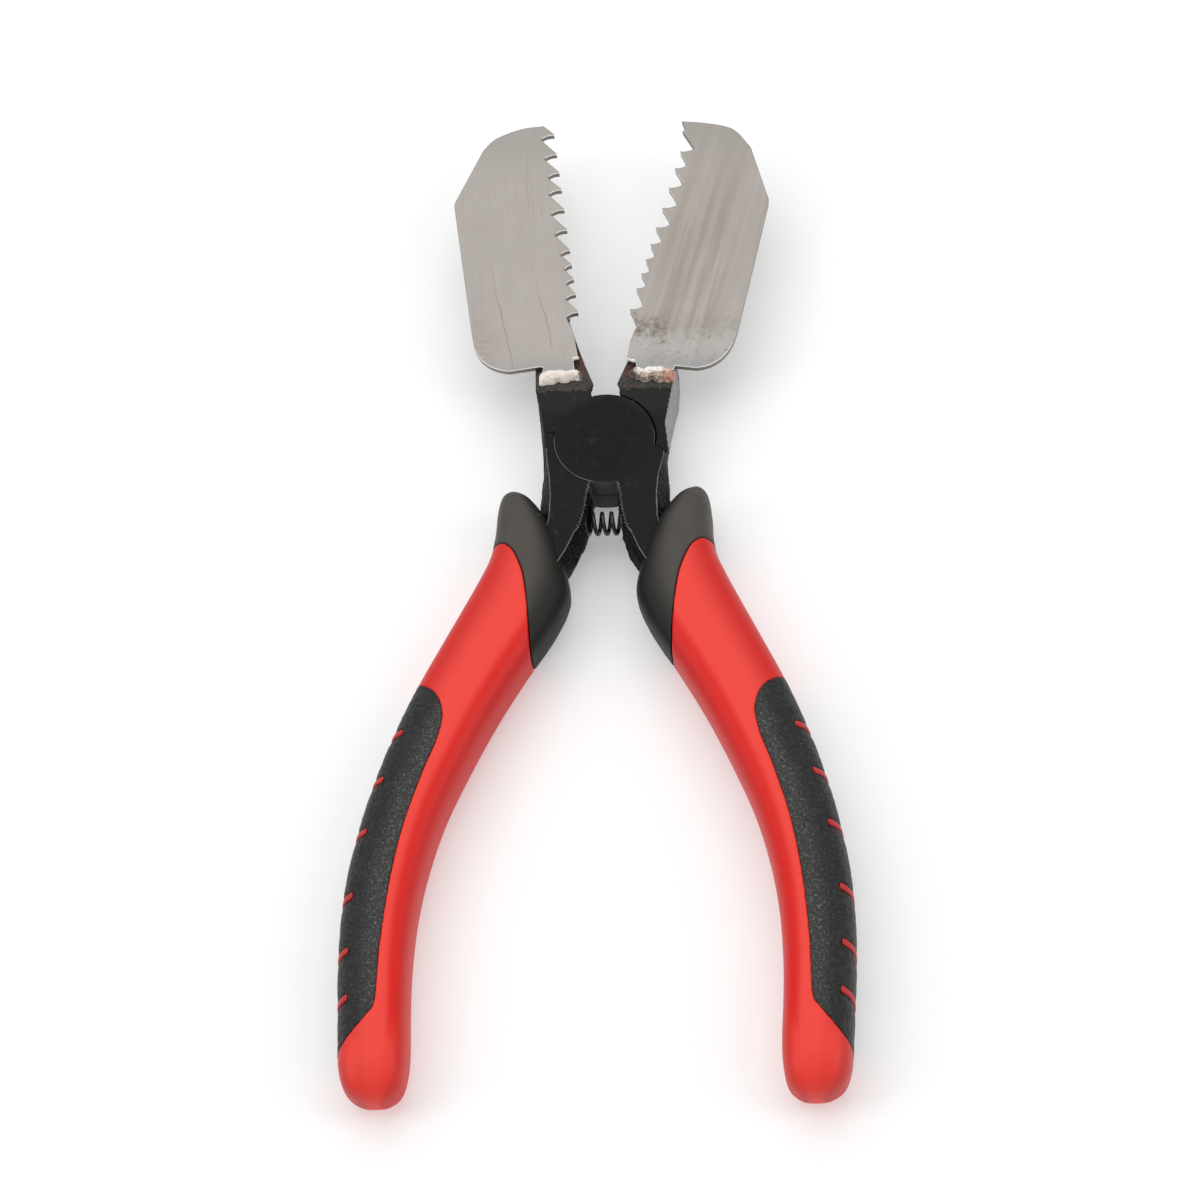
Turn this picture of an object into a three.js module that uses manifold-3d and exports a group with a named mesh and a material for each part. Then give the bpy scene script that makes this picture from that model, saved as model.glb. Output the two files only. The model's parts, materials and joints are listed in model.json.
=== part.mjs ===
// Sprung mosaic glass nippers: a black lap-jointed pair of pliers whose cut-down jaws carry
// two welded, toothed sheet-steel blades, with moulded two-colour grips on the tangs.
// Millimetres. Shapes are drawn about the pivot axis (x right, y towards the blades, z up, z = 0 on the
// tool's mid-plane) and one group moves them to the part's frame: origin under the middle of the tool.
import * as THREE from "three";
import { mergeVertices } from "three/addons/utils/BufferGeometryUtils.js";
import Module from "manifold-3d";

const wasm = await Module();
wasm.setup();

// Driving dimensions.
const BLADE_REACH = 77.4; // pivot to the blade tips
const HANDLE_REACH = 142.8; // pivot to the handle ends
const HEAD_THICKNESS = 11; // ground faces of the joint, jaws and arms
const GRIP_THICKNESS = 15;
const BOSS_RADIUS = 10.5;
const RIVET_RADIUS = 3.2;
const RIVET_HEAD_RADIUS = 4.6;
const TANG_THICKNESS = 6;
const BLADE_THICKNESS = 1.5;
const BLADE_LIFT = 0.2; // from the jaws' ground face to the underside of the blades
const SKIN = 1.9; // depth of the overmoulded guard and pad over the core
const GAP = 0.3; // between pieces that touch
const SPRING_RADIUS = 2.15; // to the middle of the wire
const SPRING_WIRE = 0.42;
const SPRING_TURNS = 8.5;
const SPRING_Y = -17.2;
const SPRING_HALF_LENGTH = 7.6;
const POCKET_RADIUS = 2.95;

const FACE = HEAD_THICKNESS / 2;
const PIVOT_Y = (HANDLE_REACH - BLADE_REACH) / 2;
const BLADE_Z = FACE + BLADE_LIFT;

// Materials.
const material = (color, roughness, metalness) =>
  new THREE.MeshStandardMaterial({ color, roughness, metalness });
const blackOxide = material(0x232525, 0.55, 0.7);
const bladeSteel = material(0xb5ada8, 0.35, 1);
const weldMetal = material(0xc9bfb4, 0.4, 1);
const springSteel = material(0x17181a, 0.45, 0.8);
const redCore = material(0xe0403a, 0.45, 0);
const blackGuard = material(0x45433f, 0.6, 0);
const blackPad = material(0x3a3c3b, 0.8, 0);

// Solids.
const point = ([x, y]) => new THREE.Vector2(x, y);

function solid(geometry) {
  const bare = geometry.index ? geometry.toNonIndexed() : geometry;
  bare.deleteAttribute("normal");
  bare.deleteAttribute("uv");
  const merged = mergeVertices(bare, 1e-4);
  const triVerts = new Uint32Array(merged.index.array);
  const vertProperties = merged.attributes.position.array;
  return new wasm.Manifold(new wasm.Mesh({ numProp: 3, vertProperties, triVerts }));
}

function prism(outline, low, high) {
  const settings = { depth: high - low, bevelEnabled: false };
  return solid(new THREE.ExtrudeGeometry(new THREE.Shape(outline), settings).translate(0, 0, low));
}

// A body skinned over closed rings of equal length, which run counterclockwise as seen from the last one.
// Its ends are flat; cap gives the triangles that fill a ring.
function loft(rings, cap = fan) {
  const size = rings[0].length;
  const triangles = [];
  cap(rings[0]).forEach(([a, b, c]) => triangles.push(rings[0][a], rings[0][c], rings[0][b]));
  cap(rings.at(-1)).forEach((corners) => triangles.push(...corners.map((i) => rings.at(-1)[i])));
  rings.slice(1).forEach((far, r) => {
    const near = rings[r];
    for (let i = 0; i < size; i++) {
      const j = (i + 1) % size;
      triangles.push(near[i], near[j], far[j], near[i], far[j], far[i]);
    }
  });
  return solid(new THREE.BufferGeometry().setFromPoints(triangles));
}

const fan = (ring) => ring.slice(2).map((_, i) => [0, i + 1, i + 2]);

const cylinder = (radius, low, high, sides = 48) =>
  solid(
    new THREE.CylinderGeometry(radius, radius, high - low, sides)
      .rotateX(Math.PI / 2)
      .translate(0, 0, (low + high) / 2),
  );

function mesh(name, body, look) {
  const { vertProperties, triVerts, numProp } = body.getMesh();
  const buffer = new THREE.InterleavedBuffer(vertProperties, numProp);
  const geometry = new THREE.BufferGeometry();
  geometry.setAttribute("position", new THREE.InterleavedBufferAttribute(buffer, 3, 0));
  geometry.setIndex(Array.from(triVerts));
  const piece = new THREE.Mesh(geometry.toNonIndexed(), look);
  piece.geometry.computeVertexNormals();
  piece.name = name;
  return piece;
}

// Outlines.
const open = (points, steps) => new THREE.SplineCurve(points.map(point)).getPoints(steps);

// The outline moved sideways by a distance: outwards on a counterclockwise outline if it is positive.
function grown(outline, distance) {
  const turn = THREE.ShapeUtils.isClockWise(outline) ? -1 : 1;
  return outline.map((here, i) => {
    const before = outline[(i + outline.length - 1) % outline.length];
    const after = outline[(i + 1) % outline.length];
    const into = here.clone().sub(before).normalize();
    const out = after.clone().sub(here).normalize();
    const side = into.add(out).normalize();
    const reach = distance / Math.max(0.6, Math.sqrt((1 + side.dot(out) ** 2) / 2));
    return new THREE.Vector2(here.x + turn * side.y * reach, here.y - turn * side.x * reach);
  });
}

// The right-hand grip, from its hooded front to its end: each row is a section, given by its outer and
// inner edge seen from above and its half thickness.
const GRIP_SECTIONS = [
  [19.7, -10.6, 17.7, -10.7, 3.2],
  [21.4, -12.6, 14.7, -13.2, 5.6],
  [22.1, -16.6, 11.4, -18, 7.1],
  [22.4, -21.3, 9, -23.6, 7.5],
  [23.4, -26.3, 7.3, -30, 7.5],
  [25.6, -31.5, 6.9, -35.3, 7.5],
  [28.9, -38.3, 9.8, -42.3, 7.5],
  [32.5, -45.6, 15.1, -51, 7.5],
  [37, -54.9, 20.8, -61.2, 7.5],
  [41.4, -65.6, 26.1, -72.3, 7.5],
  [45.2, -77.1, 30.6, -83.2, 7.5],
  [48, -88.5, 33.6, -94, 7.5],
  [49.8, -100, 35.3, -104, 7.5],
  [50.3, -112, 36, -114, 7.5],
  [50, -122, 36, -122.5, 7.5],
  [49.5, -131, 35.7, -131, 7.5],
  [49.2, -136, 35.9, -136, 7.2],
  [48, -139.9, 36.8, -139.9, 5.9],
  [45.7, -142, 38.8, -142, 3.9],
  [43.6, -HANDLE_REACH, 40.8, -HANDLE_REACH, 1.6],
];
const SECTION_SIDES = 16;
const SQUARENESS = 2.8; // 2 is an ellipse
const GUARD_EDGE = open(
  [
    [30, -24], [22.4, -24.4], [20.2, -24.6], [18.2, -26.4], [16.6, -29.8], [15.5, -34], [14.6, -42],
    [13.9, -56],
  ],
  20,
);
const PAD_EDGE = open(
  [
    [40, -54], [34.9, -56.8], [32.4, -59.2], [31.2, -63.4], [32.2, -69], [34.6, -75.6], [38, -87], [40.2, -99],
    [41.6, -113], [42, -123.6], [43.6, -126.8], [49.5, -134], [54, -139],
  ],
  26,
);
const RIB_Y = [-65.9, -76.6, -87.7, -101.6, -113.1, -123.8];
const RIB_WIDTH = 1.3;
const RIB_DEPTH = 2.7;
const TANG_MIDDLE = [[9, -22], [13.3, -33], [18.5, -41], [24, -49.5], [31, -62.5], [37.6, -79.5], [41.8, -97],
  [43, -113], [42.8, -127]];
const TANG_HALF_WIDTH = [3.6, 2.8]; // at its root and at its end
const CORE_TOP = -35; // the red core starts behind the arm's full-thickness root

function strip(middle, [from, to], extra) {
  const curve = new THREE.SplineCurve(middle.map(point));
  const steps = 22;
  const sides = [[], []];
  for (let i = 0; i <= steps; i++) {
    const t = i / steps;
    const along = curve.getTangent(t);
    const at = curve.getPoint(t).addScaledVector(along, i === steps ? extra : 0);
    const half = from + (to - from) * t + extra;
    sides[0].push(new THREE.Vector2(at.x + along.y * half, at.y - along.x * half));
    sides[1].unshift(new THREE.Vector2(at.x - along.y * half, at.y + along.x * half));
  }
  return [...sides[0], ...sides[1]];
}

function tang(extra) {
  const half = TANG_THICKNESS / 2 + extra;
  return prism(strip(TANG_MIDDLE, TANG_HALF_WIDTH, extra), -half, half);
}

// Turning a piece half round the tool's long axis swaps its side and its face.
const turned = (body) => body.rotate([0, 180, 0]);
const mirrored = (body) => body.mirror([1, 0, 0]);

// One forging, as it lies with its boss on top: jaw stub on the left, arm and tang on the right. Each corner of
// the jaw and the arm has an x on the boss's face, one at mid-thickness and one on the other face, then its y.
const JAW = [
  [0, 0, 0, 5], [-2.95, -3.3, -2.95, 9.7], [-3, -4.1, -3, 11.6], [-2.4, -3.7, -2.4, 12.9],
  [-4.9, -5.3, -4.9, 19.3], [-7.1, -7.4, -7.1, 26], [-8, -8.2, -8, 29], [-10.4, -10.6, -10.4, 29],
  [-13.6, -13.9, -13.6, 22], [-14.7, -15, -14.8, 16.5], [-14.6, -14.7, -14.9, 12.5], [-13.6, -13.9, -14.6, 8.3],
  [-12.95, -13.35, -14.5, 4.5], [-12.4, -12.9, -13.9, 0.5], [-12.1, -12.9, -13.5, -4.6], [-6, -6, -6, -4.6],
];
const ARM = [
  [0, 0, 0, -6], [2.5, 2.3, 2.6, -9.6], [3.2, 2.55, 3.2, -13.4], [3.65, 2.9, 3.65, -16.9],
  [4.45, 3.4, 4.45, -20.3], [5.75, 4.1, 5.75, -21.9], [7.4, 5.3, 7.4, -25.8], [9.6, 8, 9.6, -29.6],
  [11.2, 10.5, 11.2, -31.4], [13.5, 13.5, 13.5, -33], [15.3, 16.8, 15.3, -31], [12.8, 14.5, 12.8, -25],
  [11.2, 13.75, 11.1, -18.5], [10.95, 13.5, 10.9, -13.5], [11.3, 13.25, 11.25, -9], [12.4, 12.85, 11.85, -4.5],
  [12.5, 12.6, 12.15, -1.5], [12.7, 12.7, 12.55, 1.8], [12.8, 12.8, 12.7, 5], [6, 6, 6, 5],
];
const STOP_Y = 1.7; // where the jaw meets the other half's arm, on its boss's side of the tool
const GROUND_EDGE = [[13.43, -3.5], [12.55, 3.4], [13.75, 10.7]]; // of the other side's face, seen from there
const GROUND_FALL = 2;

function forged(corners, extra = 0) {
  const rings = [-FACE - extra, 0, FACE + extra].map((z, level) => {
    const outline = grown(corners.map((row) => new THREE.Vector2(row[2 - level], row[3])), extra);
    return outline.map(({ x, y }) => new THREE.Vector3(x, y, z));
  });
  return loft(rings, (ring) => THREE.ShapeUtils.triangulateShape(ring, []));
}

// The space an arm keeps to beside the joint. The other half's jaw keeps clear of it; with the handles fully
// open they meet, which is the tool's stop. Above the lap the meeting faces slant.
function armSpace(extra) {
  const slant = (x, z) => -1.84 - 0.826 * (x - 10.74) + 0.512 * (FACE - z) - extra;
  const top = STOP_Y - extra;
  const below = prism([[-20, -60], [30, -60], [30, top], [-20, top]].map(point), -FACE - 1, -extra);
  const ring = (z) => [[-20, -60], [30, -60], [30, slant(30, z)], [-20, slant(-20, z)]].map(([x, y]) =>
    new THREE.Vector3(x, y, z));
  return below.add(loft([ring(-extra - 0.5), ring(FACE + 1)]));
}

// Everything above a slope that leaves the top face along the line from one point to another and falls away to
// its right.
function aboveSlope(from, to) {
  const along = point(to).sub(point(from)).normalize();
  const right = new THREE.Vector2(along.y, -along.x);
  const ring = (step) => {
    const at = point(from).addScaledVector(along, step);
    return [[-1, GROUND_FALL], [-1, 9], [9, 9], [9, -9 * GROUND_FALL]].map(([out, rise]) =>
      new THREE.Vector3(at.x + right.x * out, at.y + right.y * out, FACE + rise));
  };
  return loft([ring(-20), ring(30)]);
}

function forging() {
  const lapFace = GAP / 2;
  const recess = cylinder(BOSS_RADIUS + GAP, -FACE - 1, lapFace);
  const [low, middle, high] = GROUND_EDGE;
  const ground = aboveSlope(low, middle).intersect(aboveSlope(middle, high));
  const jaw = forged(JAW).subtract(turned(armSpace(-lapFace))).subtract(turned(ground));
  const arm = forged(ARM).intersect(armSpace(lapFace));
  const pocket = new THREE.CylinderGeometry(POCKET_RADIUS, POCKET_RADIUS, SPRING_HALF_LENGTH + GAP, 20)
    .rotateZ(Math.PI / 2)
    .translate((SPRING_HALF_LENGTH + GAP) / 2, SPRING_Y, 0);
  return jaw.add(arm).subtract(recess).add(cylinder(BOSS_RADIUS, lapFace, FACE)).add(tang(0))
    .subtract(solid(pocket)).subtract(rivet(GAP / 2));
}

function rivet(extra) {
  const seat = FACE - 0.4 - extra;
  const neck = seat - (RIVET_HEAD_RADIUS - RIVET_RADIUS);
  const end = FACE - 0.1 + 4 * extra;
  const head = RIVET_HEAD_RADIUS + extra;
  const half = [[RIVET_RADIUS + extra, neck], [head, seat], [head, end]];
  const lower = half.map(([x, y]) => [x, -y]).reverse();
  const profile = [[0, -end], ...lower, ...half, [0, end]].map(point);
  return solid(new THREE.LatheGeometry(profile, 32).rotateX(Math.PI / 2));
}

// Blades: outline from the tip round the back to the heel, the welded tab and the teeth.
// Each tooth is [height of its tip, depth]; hook is how far its root lies from the tip's height.
const LEFT_BLADE = {
  back: [[14.3, BLADE_REACH], [18.4, 77], [22.1, 75.8], [25.1, 74.2], [27.3, 71.6]],
  corner: [33, 58.2],
  heel: [[28, 23.8], [26.8, 16.6], [20, 15.8]],
  tab: [[13, 16.6], [13.5, 15], [6.2, 15.2], [6.7, 18.5], [5.7, 18.7], [6.8, 25.2]],
  tipLine: [5.9, 29.6, 0.135],
  teeth: [[29.6, 2.6], [34.1, 2.2], [37.9, 1.7], [41.5, 1.7], [45.2, 2.1], [50.3, 2.8], [55.5, 3.1],
    [60.6, 2.9], [65, 2.6], [69.8, 2.8], [74.9, 3]],
  hook: -1,
};
const RIGHT_BLADE = {
  back: [[16.1, 77.3], [19.6, 76.8], [24.3, 75.8], [27.3, 74.2], [30.4, 70]],
  corner: [34.2, 56.6],
  heel: [[27.6, 24.1], [25.8, 15.8], [19.2, 15.2]],
  tab: [[14.6, 16.3], [14.3, 14.8], [6.9, 14.8], [6.1, 17.4], [4.5, 18], [5.3, 22.5]],
  tipLine: [5, 30.1, 0.262],
  teeth: [[30.1, 2.6], [35.2, 1.9], [38.8, 1.6], [42.4, 1.7], [46.1, 2.2], [50.3, 2.9], [55.2, 3.1],
    [60.3, 2.8], [65.2, 2.3], [69.5, 2.8]],
  hook: 0.6,
};

function bladeOutline({ back, corner, heel, tab, tipLine, teeth, hook }) {
  const [tipX, tipY, slope] = tipLine;
  const edge = (y) => tipX + slope * (y - tipY);
  const outline = new THREE.Shape();
  outline.moveTo(...back[0]);
  outline.splineThru(back.slice(1).map(point));
  outline.lineTo(...corner);
  outline.lineTo(...heel[0]);
  outline.quadraticCurveTo(...heel[1], ...heel[2]);
  tab.forEach((at) => outline.lineTo(...at));
  if (hook > 0) outline.lineTo(edge(tipY - 4.3) + teeth[0][1], tipY - 4.3);
  teeth.forEach(([y, depth]) => {
    const tip = [edge(y), y];
    const root = [edge(y + hook) + depth, y + hook];
    outline.lineTo(...(hook > 0 ? tip : root));
    outline.lineTo(...(hook > 0 ? root : tip));
  });
  return outline.getPoints(4).filter((at, i, all) => i === 0 || at.distanceTo(all[i - 1]) > 0.01);
}

const blade = (shape) => prism(bladeOutline(shape), BLADE_Z, BLADE_Z + BLADE_THICKNESS);

// A fillet weld of quarter-round section, laid along x.
function weldBead(fromX, toX, y, z, legY, legZ) {
  const section = new THREE.Shape();
  section.moveTo(0, 0);
  section.lineTo(legY, 0);
  section.quadraticCurveTo(legY * 0.72, legZ * 0.72, 0, legZ);
  const depth = toX - fromX;
  const geometry = new THREE.ExtrudeGeometry(section, { depth, bevelEnabled: false, curveSegments: 5 });
  return solid(geometry.rotateX(Math.PI / 2).rotateZ(Math.PI / 2).translate(fromX, y, z));
}

// The bead closing the tab's lower edge, and the one under the blade across the stub's front end.
const tabWeld = ({ tab }) => weldBead(tab[2][0], tab[1][0], tab[1][1] - GAP, FACE + 0.1, -2.2, BLADE_THICKNESS);
const rootWeld = () => weldBead(7.9, 10.3, 29 + GAP, BLADE_Z - 0.1, 2, -2);

class Helix extends THREE.Curve {
  getPoint(t, target = new THREE.Vector3()) {
    const angle = 2 * Math.PI * SPRING_TURNS * t;
    const along = SPRING_HALF_LENGTH * (2 * t - 1) * 0.93;
    return target.set(along, SPRING_RADIUS * Math.cos(angle), SPRING_RADIUS * Math.sin(angle));
  }
}

function returnSpring() {
  const wire = new THREE.Shape().absarc(0, 0, SPRING_WIRE, 0, 2 * Math.PI);
  const steps = Math.round(SPRING_TURNS * 12);
  const geometry = new THREE.ExtrudeGeometry(wire, { steps, curveSegments: 3, extrudePath: new Helix() });
  return solid(geometry.translate(0, SPRING_Y, 0));
}

// Grips.
const region = (edge, ...rest) => prism([...edge, ...rest.map(point)], -GRIP_THICKNESS, GRIP_THICKNESS);
const guardRegion = (extra) => region(shifted(GUARD_EDGE, extra), [-10, -56], [-10, 5], [30, 5]);
const padRegion = (extra) => region(shifted(PAD_EDGE, -extra), [70, -139], [70, -54]);

// An open edge moved sideways, to its right if the distance is positive.
function shifted(edge, distance) {
  return edge.map((at, i) => {
    const along = edge[Math.min(i + 1, edge.length - 1)].clone().sub(edge[Math.max(i - 1, 0)]).normalize();
    return new THREE.Vector2(at.x - along.y * distance, at.y + along.x * distance);
  });
}

// One section of a grip: a superellipse standing across the handle, drawn in by a distance all round.
function section([outerX, outerY, innerX, innerY, half], inset) {
  const outer = new THREE.Vector2(outerX, outerY);
  const inner = new THREE.Vector2(innerX, innerY);
  const across = outer.clone().sub(inner);
  const middle = outer.clone().add(inner).divideScalar(2);
  const width = across.length() / 2 - inset;
  across.normalize();
  return Array.from({ length: SECTION_SIDES }, (_, i) => {
    const angle = (2 * Math.PI * i) / SECTION_SIDES;
    const [c, s] = [Math.cos(angle), Math.sin(angle)];
    const reach = width * Math.sign(c) * Math.abs(c) ** (2 / SQUARENESS);
    const z = (half - inset) * Math.sign(s) * Math.abs(s) ** (2 / SQUARENESS);
    return new THREE.Vector3(middle.x + across.x * reach, middle.y + across.y * reach, z);
  });
}

const gripBody = () => loft(GRIP_SECTIONS.map((row) => section(row, 0)));

function coreBody(extra) {
  const inset = SKIN - extra;
  const behindGuard = GRIP_SECTIONS.filter(([, outerY]) => outerY < CORE_TOP + 12 && outerY > 5 - HANDLE_REACH);
  const above = prism([[-10, CORE_TOP + extra], [60, CORE_TOP + extra], [60, 5], [-10, 5]].map(point), -10, 10);
  return loft(behindGuard.map((row) => section(row, inset))).subtract(above);
}

// The outer edge of the handle at a height: the place of a rib, and the edge's direction there.
function outerEdge(y) {
  const after = GRIP_SECTIONS.findIndex(([, outerY]) => outerY <= y);
  const [a, b] = GRIP_SECTIONS.slice(after - 1, after + 1).map(point);
  const t = (y - a.y) / (b.y - a.y);
  return { at: a.clone().lerp(b, t), along: b.clone().sub(a).normalize() };
}

function ribs(extra) {
  return RIB_Y.map((y) => {
    const { at, along } = outerEdge(y);
    const size = [2 * RIB_DEPTH + 2 * extra, RIB_WIDTH + 2 * extra, 2 * GRIP_THICKNESS];
    const bar = new THREE.BoxGeometry(...size).rotateZ(Math.atan2(along.y, along.x) - Math.PI / 2);
    return solid(bar.translate(at.x, at.y, 0));
  }).reduce((all, bar) => all.add(bar));
}

// The space left in the grips for the forging.
const insert = () => tang(GAP).add(forged(ARM, 1.5 * GAP));

function gripCore() {
  const bare = gripBody().subtract(guardRegion(GAP)).subtract(padRegion(GAP));
  return bare.add(coreBody(0)).add(gripBody().intersect(ribs(0))).subtract(insert());
}

function frontGuard() {
  return gripBody().intersect(guardRegion(0)).subtract(coreBody(GAP)).subtract(insert());
}

function palmPad() {
  return gripBody().intersect(padRegion(0)).subtract(coreBody(GAP)).subtract(ribs(GAP));
}

const nippers = new THREE.Group();
nippers.position.set(0, PIVOT_Y, GRIP_THICKNESS / 2);
nippers.add(
  mesh("upper_lap_forging", forging(), blackOxide),
  mesh("lower_lap_forging", turned(forging()), blackOxide),
  mesh("pivot_rivet", rivet(0), blackOxide),
  mesh("return_spring", returnSpring(), springSteel),
  mesh("left_toothed_blade", mirrored(blade(LEFT_BLADE)), bladeSteel),
  mesh("right_toothed_blade", blade(RIGHT_BLADE), bladeSteel),
  mesh("left_tab_weld", mirrored(tabWeld(LEFT_BLADE)), weldMetal),
  mesh("right_tab_weld", tabWeld(RIGHT_BLADE), weldMetal),
  mesh("left_root_weld", mirrored(rootWeld()), weldMetal),
  mesh("right_root_weld", rootWeld(), weldMetal),
);
for (const [side, place] of [["right", (body) => body], ["left", mirrored]]) {
  nippers.add(
    mesh(`${side}_grip_core`, place(gripCore()), redCore),
    mesh(`${side}_front_guard`, place(frontGuard()), blackGuard),
    mesh(`${side}_palm_pad`, place(palmPad()), blackPad),
  );
}

export default nippers;
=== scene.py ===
"""The looks of the sprung mosaic glass nippers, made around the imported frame.

Shapes are worked out in millimetres about the pivot: x to the right, y towards the blades, z up from the
tool's mid-plane. `piece` moves them to metres in the row frame. Solids with soft edges are fields of signed
distance, negative inside, whose zero surface is meshed by `skin`.
"""

import json
import math

import bmesh
import bpy
import numpy as np
from mathutils import Matrix, Vector


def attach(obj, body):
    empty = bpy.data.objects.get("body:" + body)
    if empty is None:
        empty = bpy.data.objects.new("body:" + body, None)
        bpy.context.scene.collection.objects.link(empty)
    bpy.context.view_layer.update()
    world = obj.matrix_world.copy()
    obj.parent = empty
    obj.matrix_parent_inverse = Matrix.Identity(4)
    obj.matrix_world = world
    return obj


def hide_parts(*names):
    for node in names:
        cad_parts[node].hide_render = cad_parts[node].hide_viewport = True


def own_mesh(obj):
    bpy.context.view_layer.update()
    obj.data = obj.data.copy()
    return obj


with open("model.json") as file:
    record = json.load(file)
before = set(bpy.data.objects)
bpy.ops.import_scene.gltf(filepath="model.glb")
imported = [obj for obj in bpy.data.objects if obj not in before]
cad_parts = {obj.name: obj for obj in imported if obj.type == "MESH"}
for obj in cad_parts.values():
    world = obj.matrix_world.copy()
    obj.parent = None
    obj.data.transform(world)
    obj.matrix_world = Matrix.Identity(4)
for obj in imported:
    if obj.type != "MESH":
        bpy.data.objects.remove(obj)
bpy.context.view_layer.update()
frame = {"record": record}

PIVOT = Vector(frame["record"]["behaviour"]["joints"][0]["pos_m"])
MM = 0.001

# Sizes, as in the CAD.
FACE = 5.5  # half the thickness of the joint
LAP = 0.15  # the lap faces stand this far from the mid-plane
BOSS_RADIUS = 10.5
BOSS_GAP = 0.2
SEAT_OFFSET = 0.12  # the recess round a boss stands this far off-centre
RIVET_RADIUS = 3.25
RIVET_HEAD = 4.65
TANG_HALF = 3.0
BLADE_LOW, BLADE_HIGH = 5.7, 7.2
SKIN = 1.9  # the overmoulding's depth
CORE_TOP = -35.0
SPRING_RADIUS, SPRING_WIRE = 2.15, 0.42
SPRING_Y, SPRING_HALF = -17.2, 7.6
POCKET_RADIUS = 2.95
POCKET_SLOT = 1.6  # room for the spring, which stays square to the other arm as this one swings
SEAM = 0.06  # half the gap between mouldings
PAD_LAP = 0.12  # the palm pad is pressed this far into the core round its edge

GRIP_HALF = 7.5
# Right-hand grip: outer x, y, inner x, y and half thickness of each section.
GRIP = [
    (19.7, -10.6, 17.7, -10.7, 3.2), (21.4, -12.6, 14.7, -13.2, 5.6), (22.1, -16.6, 11.4, -18, 7.1),
    (22.4, -21.3, 9, -23.6, 7.5), (23.4, -26.3, 7.3, -30, 7.5), (25.6, -31.5, 6.9, -35.3, 7.5),
    (28.9, -38.3, 9.8, -42.3, 7.5), (32.5, -45.6, 15.1, -51, 7.5), (37, -54.9, 20.8, -61.2, 7.5),
    (41.4, -65.6, 26.1, -72.3, 7.5), (45.2, -77.1, 30.6, -83.2, 7.5), (48, -88.5, 33.6, -94, 7.5),
    (49.8, -100, 35.3, -104, 7.5), (50.3, -112, 36, -114, 7.5), (50, -122, 36, -122.5, 7.5),
    (49.5, -131, 35.7, -131, 7.5), (49.2, -136, 35.9, -136, 7.2), (48, -139.9, 36.8, -139.9, 5.9),
    (45.7, -142, 38.8, -142, 3.9), (43.6, -142.8, 40.8, -142.8, 1.6),
]
GUARD_EDGE = [
    (30, -24), (22.4, -24.4), (20.2, -24.6), (18.2, -26.4), (16.6, -29.8), (15.5, -34), (14.6, -42),
    (13.9, -56),
]
PAD_EDGE = [
    (40, -54), (34.9, -56.8), (32.4, -59.2), (31.2, -63.4), (32.2, -69), (34.6, -75.6), (38, -87),
    (40.2, -99), (41.6, -113), (42, -123.6), (43.6, -126.8), (49.5, -134), (54, -139),
]
RIB_Y = (-65.9, -76.6, -87.7, -101.6, -113.1, -123.8)
RIB_HALF, RIB_DEPTH, RIB_SLANT = 0.72, 2.7, 0.38
# The jaw's and the arm's corners: x on the boss's face, x at mid-thickness, x on the other face, y.
JAW = [
    (0, 0, 0, 5), (-2.95, -3.3, -2.95, 9.7), (-3, -4.1, -3, 11.6), (-2.4, -3.7, -2.4, 12.9),
    (-4.9, -5.3, -4.9, 19.3), (-7.1, -7.4, -7.1, 26), (-8, -8.2, -8, 29), (-10.4, -10.6, -10.4, 29),
    (-13.6, -13.9, -13.6, 22), (-14.7, -15, -14.8, 16.5), (-14.6, -14.7, -14.9, 12.5),
    (-13.6, -13.9, -14.6, 8.3), (-12.95, -13.35, -14.5, 4.5), (-12.4, -12.9, -13.9, 0.5),
    (-12.1, -12.9, -13.5, -4.6), (-6, -6, -6, -4.6),
]
ARM = [
    (0, 0, 0, -6), (2.5, 2.3, 2.6, -9.6), (3.2, 2.55, 3.2, -13.4), (3.65, 2.9, 3.65, -16.9),
    (4.45, 3.4, 4.45, -20.3), (5.75, 4.1, 5.75, -21.9), (7.4, 5.3, 7.4, -25.8), (9.6, 8, 9.6, -29.6),
    (11.2, 10.5, 11.2, -31.4), (13.5, 13.5, 13.5, -33), (15.3, 16.8, 15.3, -31), (12.8, 14.5, 12.8, -25),
    (11.2, 13.75, 11.1, -18.5), (10.95, 13.5, 10.9, -13.5), (11.3, 13.25, 11.25, -9),
    (12.4, 12.85, 11.85, -4.5), (12.5, 12.6, 12.15, -1.5), (12.7, 12.7, 12.55, 1.8), (12.8, 12.8, 12.7, 5),
    (6, 6, 6, 5),
]
STOP_Y = 1.7  # where the jaw meets the other half's arm, on its boss's side of the tool
STOP_GAP = 0.06
GROUND_EDGE = [(13.43, -3.5), (12.55, 3.4), (13.75, 10.7)]
GROUND_FALL = 2.0
SERRATION_END = -20.6
TANG = [(9, -22), (13.3, -33), (18.5, -41), (24, -49.5), (31, -62.5), (37.6, -79.5), (41.8, -97), (43, -113),
        (42.8, -127)]
TANG_WIDTH = (3.6, 2.8)
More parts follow.
